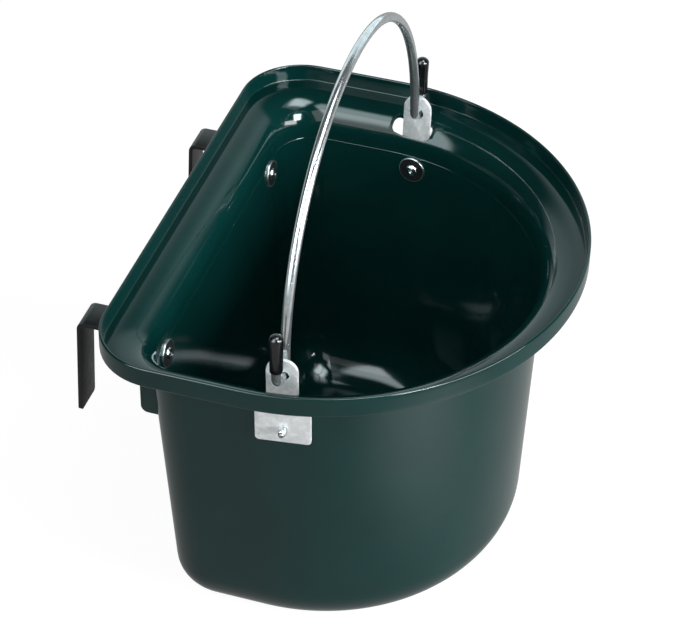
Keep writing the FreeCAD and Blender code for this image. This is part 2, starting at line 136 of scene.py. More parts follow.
# %% Moulded plastic
def moulded_plastic():
    material, tree, place = new_material("polypropylene_moulded_glossy_green")
    tone = add(tree, "ShaderNodeTexNoise", Vector=place, Scale=scale_for(60), Detail=3).outputs[0]
    base = add(tree, "ShaderNodeValToRGB", stops=around_middle("#06302e", "#083634"), Fac=tone).outputs[0]
    scuff = add(tree, "ShaderNodeTexNoise", Vector=place, Scale=scale_for(9), Detail=5, Roughness=0.65)
    rough = add(tree, "ShaderNodeMapRange", Value=scuff.outputs[0], i1=NOISE_LOW, i2=NOISE_HIGH,
                i3=0.07, i4=0.11).outputs[0]
    swell = add(tree, "ShaderNodeTexNoise", Vector=place, Scale=scale_for(45), Detail=1).outputs[0]
    peel = add(tree, "ShaderNodeTexNoise", Vector=place, Scale=scale_for(1.6), Detail=2).outputs[0]
    low = add(tree, "ShaderNodeBump", Strength=0.25, Distance=0.2 * MM, Height=swell).outputs[0]
    fine = add(tree, "ShaderNodeBump", Strength=0.12, Distance=0.02 * MM, Height=peel, Normal=low).outputs[0]
    shader = add(tree, "ShaderNodeBsdfPrincipled", Base_Color=base, Roughness=rough, IOR=1.49,
                 Specular_IOR_Level=0.36, Normal=fine)
    add(tree, "ShaderNodeOutputMaterial", Surface=shader.outputs[0])
    return material


plastic = moulded_plastic()
print(plastic.name)

# %% [markdown]
# The bail and the ears are mild steel with zinc on it. The wire is drawn and electroplated:
# bright and even, with a faint cloudiness where the zinc is a shade duller. The ears are cut
# from hot-dip sheet, whose zinc froze in small flat crystals, the spangle, so it breaks up
# into pale patches a few millimetres wide. Such zinc is more a pale grey coat than a mirror.
# Both are set less metallic than bare metal, the sheet much less, to match the photograph.

# %% Galvanised steel
def galvanised_wire():
    material, tree, place = new_material("steel_wire_zinc_plated_bright")
    cloud = add(tree, "ShaderNodeTexNoise", Vector=place, Scale=scale_for(7), Detail=4, Roughness=0.6)
    base = add(tree, "ShaderNodeValToRGB", stops=around_middle("#c2c9cb", "#dde2e4"),
               Fac=cloud.outputs[0]).outputs[0]
    dull = add(tree, "ShaderNodeTexNoise", Vector=place, Scale=scale_for(12), Detail=2).outputs[0]
    rough = add(tree, "ShaderNodeMapRange", Value=dull, i1=NOISE_LOW, i2=NOISE_HIGH, i3=0.15, i4=0.20)
    grain = add(tree, "ShaderNodeTexNoise", Vector=place, Scale=scale_for(0.9), Detail=2).outputs[0]
    peel = add(tree, "ShaderNodeBump", Strength=0.04, Distance=0.02 * MM, Height=grain).outputs[0]
    shader = add(tree, "ShaderNodeBsdfPrincipled", Base_Color=base, Metallic=0.85,
                 Roughness=rough.outputs[0], Normal=peel)
    add(tree, "ShaderNodeOutputMaterial", Surface=shader.outputs[0])
    return material


def galvanised_sheet():
    material, tree, place = new_material("steel_sheet_hot_dip_galvanised")
    crystal = add(tree, "ShaderNodeTexVoronoi", Vector=place, Scale=scale_for(2.6), Randomness=1.0)
    grain = add(tree, "ShaderNodeSeparateColor", Color=crystal.outputs["Color"]).outputs[0]
    shades = [(0.0, "#e6eaec"), (0.55, "#eef1f2"), (1.0, "#fafbfc")]
    base = add(tree, "ShaderNodeValToRGB", stops=shades, Fac=grain).outputs[0]
    rough = add(tree, "ShaderNodeMapRange", Value=grain, i1=0.0, i2=1.0, i3=0.42, i4=0.56).outputs[0]
    speck = add(tree, "ShaderNodeTexNoise", Vector=place, Scale=scale_for(0.8), Detail=3).outputs[0]
    pits = add(tree, "ShaderNodeBump", Strength=0.3, Distance=0.03 * MM, Height=speck).outputs[0]
    shader = add(tree, "ShaderNodeBsdfPrincipled", Base_Color=base, Metallic=0.25, Roughness=rough,
                 Normal=pits)
    add(tree, "ShaderNodeOutputMaterial", Surface=shader.outputs[0])
    return material


wire_zinc = galvanised_wire()
sheet_zinc = galvanised_sheet()
print(wire_zinc.name, sheet_zinc.name)

# %% [markdown]
# The hooks are hot-rolled strap with a black powder coat, sprayed dry and baked: semi-gloss,
# with a fine pebbled grain where the powder flowed together, and a specular level a little
# under the usual one, to match the photograph. The caps are soft vinyl, formed by dipping, so
# they are smooth with a dull sheen.

# %% Black coatings
def powder_coat():
    material, tree, place = new_material("powder_coat_black_semi_gloss")
    tone = add(tree, "ShaderNodeTexNoise", Vector=place, Scale=scale_for(30), Detail=3).outputs[0]
    base = add(tree, "ShaderNodeValToRGB", stops=around_middle("#0a0b0c", "#101213"), Fac=tone).outputs[0]
    scuff = add(tree, "ShaderNodeTexNoise", Vector=place, Scale=scale_for(4), Detail=3).outputs[0]
    rough = add(tree, "ShaderNodeMapRange", Value=scuff, i1=NOISE_LOW, i2=NOISE_HIGH, i3=0.28, i4=0.38)
    pebble = add(tree, "ShaderNodeTexNoise", Vector=place, Scale=scale_for(0.9), Detail=3, Roughness=0.6)
    grain = add(tree, "ShaderNodeBump", Strength=0.45, Distance=0.06 * MM, Height=pebble.outputs[0])
    shader = add(tree, "ShaderNodeBsdfPrincipled", Base_Color=base, Roughness=rough.outputs[0], IOR=1.5,
                 Specular_IOR_Level=0.34, Normal=grain.outputs[0])
    add(tree, "ShaderNodeOutputMaterial", Surface=shader.outputs[0])
    return material


def dipped_vinyl():
    material, tree, place = new_material("vinyl_dipped_black")
    tone = add(tree, "ShaderNodeTexNoise", Vector=place, Scale=scale_for(12), Detail=3).outputs[0]
    base = add(tree, "ShaderNodeValToRGB", stops=around_middle("#0b0c0e", "#131517"), Fac=tone).outputs[0]
    handled = add(tree, "ShaderNodeTexNoise", Vector=place, Scale=scale_for(5), Detail=3).outputs[0]
    rough = add(tree, "ShaderNodeMapRange", Value=handled, i1=NOISE_LOW, i2=NOISE_HIGH, i3=0.20, i4=0.28)
    sag = add(tree, "ShaderNodeTexNoise", Vector=place, Scale=scale_for(6), Detail=1).outputs[0]
    swell = add(tree, "ShaderNodeBump", Strength=0.3, Distance=0.10 * MM, Height=sag).outputs[0]
    shader = add(tree, "ShaderNodeBsdfPrincipled", Base_Color=base, Roughness=rough.outputs[0], IOR=1.52,
                 Normal=swell)
    add(tree, "ShaderNodeOutputMaterial", Surface=shader.outputs[0])
    return material


coat = powder_coat()
vinyl = dipped_vinyl()
print(coat.name, vinyl.name)

# %% [markdown]
# The rivets are drawn aluminium around a plain steel stem, so one function with two sets of
# shades and roughness serves both. The washers are black-coated steel with a painted highlight:
# a ring of bright bare metal is painted round each edge. The washer's mesh carries a value that
# rises toward its edge, and noise breaks the line between the black coat and the painted rim.

# %% Rivet metal and washers
def rivet_metal(name, dark, light, rough_low, rough_high):
    material, tree, place = new_material(name)
    tone = add(tree, "ShaderNodeTexNoise", Vector=place, Scale=scale_for(2.5), Detail=3).outputs[0]
    base = add(tree, "ShaderNodeValToRGB", stops=around_middle(dark, light), Fac=tone).outputs[0]
    handled = add(tree, "ShaderNodeTexNoise", Vector=place, Scale=scale_for(1.2), Detail=3).outputs[0]
    rough = add(tree, "ShaderNodeMapRange", Value=handled, i1=NOISE_LOW, i2=NOISE_HIGH, i3=rough_low,
                i4=rough_high).outputs[0]
    grain = add(tree, "ShaderNodeTexNoise", Vector=place, Scale=scale_for(0.5), Detail=2).outputs[0]
    drawn = add(tree, "ShaderNodeBump", Strength=0.2, Distance=0.02 * MM, Height=grain).outputs[0]
    shader = add(tree, "ShaderNodeBsdfPrincipled", Base_Color=base, Metallic=1.0, Roughness=rough,
                 Normal=drawn)
    add(tree, "ShaderNodeOutputMaterial", Surface=shader.outputs[0])
    return material


def washer_coat():
    material, tree, place = new_material("steel_washer_black_painted_rim_highlight")
    # Painted highlight: the washer's edge is painted as a ring of bright bare metal.
    painted_rim = add(tree, "ShaderNodeAttribute", dict(attribute_name="painted_rim")).outputs["Fac"]
    rim_noise = add(tree, "ShaderNodeTexNoise", Vector=place, Scale=scale_for(1.5), Detail=4).outputs[0]
    broken = add(tree, "ShaderNodeMath", dict(operation="MULTIPLY_ADD"), i0=rim_noise, i1=0.8, i2=painted_rim).outputs[0]
    mask = add(tree, "ShaderNodeMapRange", Value=broken, i1=0.75, i2=1.05, i3=0.0, i4=1.0).outputs[0]
    tone = add(tree, "ShaderNodeTexNoise", Vector=place, Scale=scale_for(3), Detail=3).outputs[0]
    dark = add(tree, "ShaderNodeValToRGB", stops=around_middle("#151718", "#222527"), Fac=tone).outputs[0]
    base = add(tree, "ShaderNodeMix", dict(data_type="RGBA"), i0=mask, i6=dark, i7=linear("#b4babb"))
    shader = add(tree, "ShaderNodeBsdfPrincipled", Base_Color=base.outputs[2], Metallic=mask, Roughness=0.34)
    add(tree, "ShaderNodeOutputMaterial", Surface=shader.outputs[0])
    return material


aluminium = rivet_metal("aluminium_rivet_drawn_bright", "#c6cacc", "#e2e5e6", 0.20, 0.30)
stem_steel = rivet_metal("steel_rivet_stem_plain", "#6f7274", "#8d9092", 0.32, 0.45)
washer_black = washer_coat()
print("materials", len(bpy.data.materials))

# %% [markdown]
# Mesh helpers. A mesh is written straight from lists of points and faces, in metres. Faces
# are shaded smooth, and an edge is kept crisp only where its faces meet at a real corner.
# Where a modifier cuts or softens a shape, it is applied at once, so that what stays is a
# plain mesh.

# %% Mesh helpers
CRISP = 34


def placed_object(name, data):
    """An object for a mesh, a lamp or a camera, linked into the scene."""
    made = bpy.data.objects.new(name, data)
    bpy.context.scene.collection.objects.link(made)
    return made


def mesh_object(name, points, faces, material):
    mesh = bpy.data.meshes.new(name)
    mesh.from_pydata([Vector(p) for p in points], [], faces)
    return polished(placed_object(name, mesh), material)


def polished(made, material):
    """Merges doubles, points the faces outwards, shades smooth and keeps real corners crisp."""
    mesh = made.data
    mesh.validate()
    work = bmesh.new()
    work.from_mesh(mesh)
    bmesh.ops.remove_doubles(work, verts=work.verts, dist=1e-7)
    bmesh.ops.recalc_face_normals(work, faces=work.faces)
    for face in work.faces:
        face.smooth = True
    for edge in work.edges:
        edge.smooth = edge.is_boundary or edge.calc_face_angle(0) < math.radians(CRISP)
    work.to_mesh(mesh)
    work.free()
    mesh.materials.clear()
    mesh.materials.append(material)
    return made


def plain_mesh(made):
    """The object's mesh with its modifiers carried out."""
    bpy.context.view_layer.update()
    seen = made.evaluated_get(bpy.context.evaluated_depsgraph_get())
    return bpy.data.meshes.new_from_object(seen)


def apply_modifier(made, kind, **settings):
    modifier = made.modifiers.new(kind.lower(), kind)
    for name, value in settings.items():
        setattr(modifier, name, value)
    mesh = plain_mesh(made)
    made.modifiers.clear()
    made.data = mesh
    return made


def soften(made, width, sharp, segments=3):
    """Bevels the edges that turn by more than sharp degrees; the width is in millimetres."""
    return apply_modifier(made, "BEVEL", width=width * MM, segments=segments, limit_method="ANGLE",
                          angle_limit=math.radians(sharp))


def cut(made, cutter):
    apply_modifier(made, "BOOLEAN", operation="DIFFERENCE", solver="EXACT", object=cutter)
    bpy.data.objects.remove(cutter)


def grid_faces(rows, columns, close_rows, close_columns):
    """Quads between neighbouring rings of equal length."""
    faces = []
    for i in range(rows if close_rows else rows - 1):
        for j in range(columns if close_columns else columns - 1):
            a, b = i * columns, (i + 1) % rows * columns
            k = (j + 1) % columns
            faces.append((a + j, a + k, b + k, b + j))
    return faces


def prism_faces(count):
    """Two ends and the sides between two equal outlines of count points."""
    ends = [tuple(range(count)), tuple(range(2 * count - 1, count - 1, -1))]
    return ends + [(i, (i + 1) % count, count + (i + 1) % count, count + i) for i in range(count)]


def arc(centre, radius, start, end, count):
    """Points of an arc in a plane, from one angle to another, in degrees."""
    turns = [math.radians(start + (end - start) * i / count) for i in range(count + 1)]
    return [(centre[0] + radius * math.cos(t), centre[1] + radius * math.sin(t)) for t in turns]


def mix(low, high, share):
    return low + (high - low) * share


print("mesh helpers ready")

# %% [markdown]
# The tub is the main piece, and its shape follows a rule: one D-shaped ring after another,
# each a step further along the section of the moulding. The section starts under the floor,
# climbs the outside of the wall, turns round the rim and comes down inside. Rings on the rim
# are the D moved inward by the same amount everywhere. Rings on the wall also shrink with
# the draft, the slight taper that lets the moulding leave its mould.

# %% Rings of the tub
BACK_STEPS, CORNER_STEPS, SIDE_STEPS, FRONT_STEPS = 24, 14, 6, 120
FLOOR_STEPS = 14


def d_ring(half_width, back, corner, centre, z):
    """One closed ring of the D, in metres."""
    right, corner_y = half_width - corner, back - corner
    down, up = centre - back + corner, corner_y - centre
    line = [(right * (2 * i / BACK_STEPS - 1), back) for i in range(BACK_STEPS)]
    line += arc((right, corner_y), corner, 90, 0, CORNER_STEPS)
    line += [(half_width, corner_y + down * i / SIDE_STEPS) for i in range(1, SIDE_STEPS)]
    line += arc((0, centre), half_width, 0, -180, FRONT_STEPS)
    line += [(-half_width, centre + up * i / SIDE_STEPS) for i in range(1, SIDE_STEPS)]
    line += arc((-right, corner_y), corner, 180, 90, CORNER_STEPS)[:-1]
    return [(x * MM, y * MM, z * MM) for x, y in line]


def rim_ring(inset, z):
    half_width, back, corner = (RIM[key] - inset for key in ("half_width", "back", "corner"))
    return d_ring(half_width, back, corner, RIM["centre"], z)


def wall_at(z):
    """Half width, back, corner radius and centre of the wall's outside at a height."""
    drop = WALL_TOP - z
    half_width = RIM["half_width"] - SIDE_INSET - drop * SIDE_DRAFT
    back = RIM["back"] - BACK_INSET - drop * BACK_DRAFT
    front = RIM["centre"] - RIM["half_width"] + SIDE_INSET + drop * FRONT_DRAFT
    corner = mix(TOP_CORNER, FOOT_CORNER, drop / (WALL_TOP - WALL_FOOT))
    return half_width, back, corner, front + half_width


def wall_ring(z, skin):
    half_width, back, corner, centre = wall_at(z)
    return d_ring(half_width - skin, back - skin, corner - skin, centre, z)


def floor_rings(skin, floor):
    """Rings round the foot, from the wall down to the flat of the floor."""
    half_width, back, corner, centre = wall_at(WALL_FOOT)
    radius = FLOOR_ROUND - floor
    rings = []
    for i in range(FLOOR_STEPS + 1):
        turn = LEAN + (math.pi / 2 - LEAN) * i / FLOOR_STEPS
        inset = skin + radius * (math.cos(LEAN) - math.cos(turn))
        z = FLOOR_ROUND - radius * math.sin(turn)
        tight = corner - skin + (FLOOR_CORNER - corner + skin) * (inset - skin) / radius
        rings.append(d_ring(half_width - inset, back - inset, tight, centre, z))
    return rings


print("points in a ring", len(rim_ring(0, 0)))

# %% [markdown]
# Between the wall and the ledge the moulding turns over in a quarter roll. Its underside
# keeps the wall's corner. Its upper face starts with the wall's corner and ends with the
# wider one of the ledge, so each ring there is a mixture of the two. A very low bead runs
# round the inside of the wall just under the roll.

# %% Roll, lip and ledge
ROLL_REACH = ROLL - WALL
UNDER_STEPS, OVER_STEPS, WALL_STEPS = 24, 30, 14
LIP_FOOT_STEPS, LIP_CREST_STEPS, LIP_ROOT_STEPS, LIP_SIDE_STEPS = 8, 14, 6, 4
FLAT_SHARES, LEDGE_SHARES = (0.05, 0.4, 0.75), (0.04, 0.35, 0.65, 0.96)
BEAD_Z, BEAD_CLEAR = 222.8, 3
# down the bead: how far above its middle, and how far it stands out of the wall
BEAD_SECTION = [(0.45, 0), (0.25, 0.16), (0, 0.22), (-0.25, 0.16), (-0.45, 0)]


def roll_under(degrees):
    """Ring on the underside of the roll; at 0 degrees it leaves the wall."""
    half_width, back, corner, centre = wall_at(WALL_TOP)
    turn = math.radians(degrees)
    out = ROLL_REACH - ROLL_REACH * math.cos(turn)
    return d_ring(half_width + out, back + out, corner + out, centre, WALL_TOP + ROLL_REACH * math.sin(turn))


def roll_over(degrees):
    """Ring on the upper face of the roll, whose corner opens from the wall's to the ledge's."""
    half_width, back, _, centre = wall_at(WALL_TOP)
    low = wall_ring(WALL_TOP, WALL)
    high = d_ring(half_width + ROLL_REACH, back + ROLL_REACH, LEDGE_CORNER, centre, WALL_TOP)
    share = 1 - math.cos(math.radians(degrees))
    z = (WALL_TOP + ROLL * math.sin(math.radians(degrees))) * MM
    return [(mix(p[0], q[0], share), mix(p[1], q[1], share), z) for p, q in zip(low, high)]


def blend(first, last, shares):
    """Rings on the straight way from one ring to another."""
    pairs = list(zip(first, last))
    return [[tuple(mix(a, b, share) for a, b in zip(p, q)) for p, q in pairs] for share in shares]


def shrink(ring, shares):
    """Flat rings inside a ring, towards its middle."""
    middle = [sum(p[i] for p in ring) / len(ring) for i in range(3)]
    return [[tuple(middle[i] + (p[i] - middle[i]) * share for i in range(3)) for p in ring]
            for share in shares]


def lip_section():
    """Section of the lip as (inset, z), from under the ledge over the crest to the ledge's top."""
    under, half = LEDGE - WALL, LIP / 2
    crest = RIM["top"] - half
    between = [i / LIP_SIDE_STEPS for i in range(1, LIP_SIDE_STEPS)]
    path = arc((LIP_FOOT, under + LIP_FOOT), LIP_FOOT, 270, 180, LIP_FOOT_STEPS)
    path += [(0, mix(under + LIP_FOOT, crest, share)) for share in between]
    path += arc((half, crest), half, 180, 0, LIP_CREST_STEPS)
    path += [(LIP, mix(crest, LEDGE + LIP_ROOT, share)) for share in between]
    path += arc((LIP + LIP_ROOT, LEDGE + LIP_ROOT), LIP_ROOT, 180, 270, LIP_ROOT_STEPS)
    return path


print("points in the lip's section", len(lip_section()))

# %% [markdown]
# Now the rings are strung together in the order of the section, neighbours are joined with
# quads, and the two ends under and inside the floor are closed with one small face each.

# %% Tub
def tub_rings():
    outer_floor = floor_rings(0, 0)[::-1]
    inner_floor = floor_rings(WALL, FLOOR)
    heights = [mix(WALL_FOOT, WALL_TOP, i / WALL_STEPS) for i in range(1, WALL_STEPS)]
    under = [roll_under(90 * i / UNDER_STEPS) for i in range(UNDER_STEPS + 1)]
    lip = [rim_ring(inset, z) for inset, z in lip_section()]
    over = [roll_over(90 * i / OVER_STEPS) for i in range(OVER_STEPS, -1, -1)]
    rings = shrink(outer_floor[0], FLAT_SHARES) + outer_floor
    rings += [wall_ring(z, 0) for z in heights]
    rings += under + blend(under[-1], lip[0], LEDGE_SHARES) + lip
    rings += blend(lip[-1], over[0], LEDGE_SHARES) + over
    down = [(z, 0) for z in heights if abs(z - BEAD_Z) > BEAD_CLEAR]
    down += [(BEAD_Z + step, rise) for step, rise in BEAD_SECTION]
    rings += [wall_ring(z, WALL + rise) for z, rise in sorted(down, reverse=True)]
    rings += inner_floor + shrink(inner_floor[-1], FLAT_SHARES[::-1])
    return rings


rings = tub_rings()
around, last_ring = len(rings[0]), (len(rings) - 1) * len(rings[0])
tub_faces = grid_faces(len(rings), around, False, True)
tub_faces += [tuple(range(around)), tuple(range(last_ring, last_ring + around))]
tub = mesh_object("tub_moulding", [point for ring in rings for point in ring], tub_faces, plastic)
print("tub faces", len(tub.data.polygons))

# %% [markdown]
# Ears and hooks sit on a wall that leans and, at the sides, is also round. A seat is a matrix
# that holds the place and the direction of one of them: x points outward, y along the wall
# and z up it. Pieces are drawn flat on their seat, and the left side mirrors the right.

# %% Seats
EAR_Y, EAR_RIVET_Z, LAND = 3.0, 211.7, 0.3
HOOK_X, HOOK_RIVET_Z = 112.0, 213.0


def seat(point, outward, lean):
    turn = Matrix.Rotation(math.atan2(outward[1], outward[0]), 4, "Z")
    tilt = Matrix.Rotation(lean, 4, "Y")
    return Matrix.Translation(Vector(point) * MM) @ turn @ tilt


def ear_seat():
    radius, _, _, centre = wall_at(EAR_RIVET_Z)
    swing = math.asin((centre - EAR_Y) / radius)
    lean = math.atan(SIDE_DRAFT - (SIDE_DRAFT - FRONT_DRAFT) * math.sin(swing))
    return seat((radius * math.cos(swing), EAR_Y, EAR_RIVET_Z), (math.cos(swing), -math.sin(swing)), lean)


def hook_seat():
    return seat((HOOK_X, wall_at(HOOK_RIVET_Z)[1], HOOK_RIVET_Z), (0, 1), math.atan(BACK_DRAFT))


EAR_SEAT, HOOK_SEAT = ear_seat(), hook_seat()
SIDES = {"right": Matrix.Identity(4), "left": Matrix.Scale(-1, 4, Vector((1, 0, 0)))}
print("ear seat at", list(EAR_SEAT.translation), "hook seat at", list(HOOK_SEAT.translation))

# %% [markdown]
# Sheet metal, ribs and punched holes all start as a flat outline with rounded corners. One
# helper works out the points of such an outline, and another gives it thickness on a seat.

# %% Outlines
OUTLINE_STEPS, SLOT_STEPS, EAR_STEPS = 6, 8, 14
EXTRUDED_SHARP = 40


def rounded_outline(corners, steps=OUTLINE_STEPS):
    """Points of a closed outline; each corner is (x, y, radius)."""
    line = []
    for i, (x, y, radius) in enumerate(corners):
        here = Vector((x, y))
        before = (Vector(corners[i - 1][:2]) - here).normalized()
        after = (Vector(corners[(i + 1) % len(corners)][:2]) - here).normalized()
        if radius == 0:
            line.append(here)
            continue
        half = before.angle(after) / 2
        centre = here + (before + after).normalized() * (radius / math.sin(half))
        start = here + before * (radius / math.tan(half)) - centre
        end = here + after * (radius / math.tan(half)) - centre
        first = math.atan2(start.y, start.x)
        turn = (math.atan2(end.y, end.x) - first + math.pi) % math.tau - math.pi
        for k in range(steps + 1):
            angle = first + turn * k / steps
            line.append(centre + Vector((math.cos(angle), math.sin(angle))) * radius)
    return line


def extruded(name, outline, low, high, place, material, bevel=0.0):
    """A flat outline given thickness along x of its seat, with a small bevel on its edges."""
    points = [place @ Vector((x * MM, p[0] * MM, p[1] * MM)) for x in (low, high) for p in outline]
    made = mesh_object(name, points, prism_faces(len(outline)), material)
    if bevel:
        soften(made, bevel, EXTRUDED_SHARP)
    return polished(made, material)


print("outline helpers ready")

# %% [markdown]
# Each ear comes up through a slot in the roll. The slots are cut with a Boolean modifier, as
# a punch would cut them, and a small bevel takes the sharpness off their edges. With them the
# tub is finished, so it takes the place of its engineering solid.

# %% Slots
SLOT_LENGTH, SLOT_WIDTH, SLOT_SHIFT, SLOT_BACK = 32.4, 9.8, 4.2, 1.7
SLOT_INNER_ROUND, SLOT_OUTER_ROUND, SLOT_BEVEL, SLOT_SHARP = 3.5, 4.6, 0.5, 60


def slot_cutter(side):
    """Stands on the ear's seat, from just above the foot of the roll to above the ledge."""
    front, behind = SLOT_SHIFT - SLOT_LENGTH / 2, SLOT_SHIFT + SLOT_LENGTH / 2
    inner = LAND - SLOT_BACK
    outer = inner + SLOT_WIDTH
    corners = [(inner, front, SLOT_INNER_ROUND), (inner, behind, SLOT_INNER_ROUND)]
    corners += [(outer, behind, SLOT_OUTER_ROUND), (outer, front, SLOT_OUTER_ROUND)]
    outline = rounded_outline(corners, SLOT_STEPS)
    heights = WALL_TOP + WALL / 2 - EAR_RIVET_Z, LEDGE + WALL - EAR_RIVET_Z
    place = SIDES[side] @ EAR_SEAT
    points = [place @ Vector((p[0] * MM, p[1] * MM, z * MM)) for z in heights for p in outline]
    return mesh_object("slot_cutter", points, prism_faces(len(outline)), plastic)


for side in SIDES:
    cut(tub, slot_cutter(side))
soften(tub, SLOT_BEVEL, SLOT_SHARP, 2)
polished(tub, plastic)
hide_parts("tub")
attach(tub, "trough")
print("tub after the slots", len(tub.data.polygons))

# %% [markdown]
# Below the rim the moulding carries two more forms: a flat land under each ear, so that a flat
# plate can sit on a round wall, and a pair of cheeks beside each hook that keep the strap
# square. Both are simple solids rooted in the wall, and the cheeks' edges are softened.

# %% Lands and cheeks
EAR_FOOT_WIDTH, EAR_FOOT_LOW, EAR_FOOT_HIGH, LAND_MARGIN = 39.0, 199.2, 227.2, 1.5
HOOK_WIDTH = 24.4
CHEEK, CHEEK_DEPTH, CHEEK_LOW, CHEEK_ROUND, CHEEK_GAP, CHEEK_BEVEL = 5.5, 14.0, 170.0, 5.5, 0.5, 0.6
CHEEK_STEPS = 6


def land(side):
    half = EAR_FOOT_WIDTH / 2 - LAND_MARGIN
    low = EAR_FOOT_LOW + LAND_MARGIN - EAR_RIVET_Z
    high = WALL_TOP - EAR_RIVET_Z
    outline = [(-half, low), (half, low), (half, high), (-half, high)]
    return extruded("ear_land_" + side, outline, -WALL / 2, LAND, SIDES[side] @ EAR_SEAT, plastic)


def cheek(name, x, side):
    """Seen from the side: up the wall, round inside the roll and down to a rounded toe."""
    back_low, back_top = wall_at(CHEEK_LOW)[1], wall_at(WALL_TOP)[1]
    face = back_low + CHEEK_DEPTH
    roll_y, radius = back_top + ROLL - WALL, ROLL - WALL / 2
    last = math.degrees(math.acos((roll_y - face) / radius))
    corners = [(back_low - WALL / 2, CHEEK_LOW, 0)]
    corners += [(roll_y - y, z, 0) for y, z in arc((0, WALL_TOP), radius, 0, last, CHEEK_STEPS)]
    corners += [(face, CHEEK_LOW, CHEEK_ROUND)]
    return extruded(name, rounded_outline(corners), x, x + CHEEK, SIDES[side], plastic, CHEEK_BEVEL)


for side in SIDES:
    offset = HOOK_WIDTH / 2 + CHEEK_GAP
    forms = [land(side)]
    forms.append(cheek("hook_cheek_outer_" + side, HOOK_X + offset, side))
    forms.append(cheek("hook_cheek_inner_" + side, HOOK_X - offset - CHEEK, side))
    for form in forms:
        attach(form, "trough")
print("lands and cheeks made")

# %% [markdown]
# An ear is a T of 2.5 mm sheet, sheared and punched, so it has a flat face and slightly
# rounded edges that catch a thin line of light. It is an outline given a thickness. The hole
# for the wire is punched with a Boolean, and then every edge gets a small bevel.

# %% Ears
EAR_THICKNESS, EAR_TAB, EAR_TOP, EAR_HOLE = 2.5, 22.0, 275.5, 5.0
EAR_FOOT_ROUND, EAR_STEP_ROUND, EAR_BEVEL, EAR_SHARP = 3.0, 1.5, 0.3, 50
HOLE_STEPS, PUNCH_PAST = 48, 1
WIRE, WIRE_SEAT = 3.5, 0.4
PIVOT_Z = pivot[2] / MM


def ear(side):
    foot, tab = EAR_FOOT_WIDTH / 2, EAR_TAB / 2
    low, step, top = (z - EAR_RIVET_Z for z in (EAR_FOOT_LOW, EAR_FOOT_HIGH, EAR_TOP))
    round_top = tab - 0.01
    corners = [(-foot, low, EAR_FOOT_ROUND), (foot, low, EAR_FOOT_ROUND)]
    corners += [(foot, step, EAR_STEP_ROUND), (tab, step, EAR_STEP_ROUND)]
    corners += [(tab, top, round_top), (-tab, top, round_top)]
    corners += [(-tab, step, EAR_STEP_ROUND), (-foot, step, EAR_STEP_ROUND)]
    place = SIDES[side] @ EAR_SEAT
    outline = rounded_outline(corners, EAR_STEPS)
    made = extruded("ear_sheet_" + side, outline, LAND, LAND + EAR_THICKNESS, place, sheet_zinc)
    centre = PIVOT_Z + EAR_HOLE - WIRE - WIRE_SEAT - EAR_RIVET_Z
    turns = [math.tau * i / HOLE_STEPS for i in range(HOLE_STEPS)]
    ring = [(EAR_HOLE * math.cos(t), centre + EAR_HOLE * math.sin(t)) for t in turns]
    near, far = LAND - PUNCH_PAST, LAND + EAR_THICKNESS + PUNCH_PAST
    cut(made, extruded("hole_cutter", ring, near, far, place, sheet_zinc))
    soften(made, EAR_BEVEL, EAR_SHARP)
    return polished(made, sheet_zinc)


for side in SIDES:
    made = ear(side)
    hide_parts("ear_plate_" + side)
    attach(made, "trough")
print("ears made")

# %% [markdown]
# A hook is one strap bent over twice on a brake, with a short leg riveted to the wall and a
# long one that hangs free behind the rail. Its side view is a line with two bends, and rows
# of four points across the strap follow that line. Near both ends the rows get narrower, step
# by step, which rounds the strap's corners.

# %% Hooks
HOOK_THICKNESS, HOOK_TOP, HOOK_REACH = 3.0, 234.5, 166.7
HOOK_LEG_LOW, HOOK_TIP, HOOK_TIP_LEAN, HOOK_BEND, HOOK_CORNER = 190.0, 152.0, 2.5, 3.0, 2.5
HOOK_BEVEL, HOOK_SHARP, BEND_STEPS, HOOK_CORNER_STEPS = 0.5, 50, 12, 6


def hook_line():
    """Side view of the strap's inner face as (y, z), from the foot of the wall leg to the tip."""
    outer = HOOK_BEND + HOOK_THICKNESS
    lean = math.degrees(math.atan(BACK_DRAFT))
    low_y = wall_at(HOOK_LEG_LOW)[1]
    bend_z = HOOK_TOP - outer
    rise = bend_z + outer * math.sin(math.radians(lean)) - HOOK_LEG_LOW
    bend_y = low_y + rise * BACK_DRAFT + outer * math.cos(math.radians(lean))
    line = [(low_y, HOOK_LEG_LOW)]
    line += arc((bend_y, bend_z), outer, 180 - lean, 90, BEND_STEPS)
    line += arc((HOOK_REACH - outer, bend_z), outer, 90, HOOK_TIP_LEAN, BEND_STEPS)
    y, z = line[-1]
    line.append((y + (z - HOOK_TIP) * math.tan(math.radians(HOOK_TIP_LEAN)), HOOK_TIP))
    return [Vector(point) for point in line]


def strap_rows():
    """The line cut finely at both ends, with the half width of the strap at each cut."""
    line = hook_line()
    half = HOOK_WIDTH / 2
    turns = [math.radians(90 * i / HOOK_CORNER_STEPS) for i in range(HOOK_CORNER_STEPS)]
    steps = [HOOK_CORNER * (1 - math.cos(turn)) for turn in turns]
    reach = [half - HOOK_CORNER + math.sqrt(HOOK_CORNER ** 2 - (HOOK_CORNER - step) ** 2) for step in steps]
    first = (line[1] - line[0]).normalized()
    last = (line[-2] - line[-1]).normalized()
    rows = [(line[0] + first * step, width) for step, width in zip(steps, reach)]
    rows += [(line[0] + first * HOOK_CORNER, half)]
    rows += [(point, half) for point in line[1:-1]]
    rows += [(line[-1] + last * HOOK_CORNER, half)]
    rows += [(line[-1] + last * step, width) for step, width in zip(steps[::-1], reach[::-1])]
    return rows


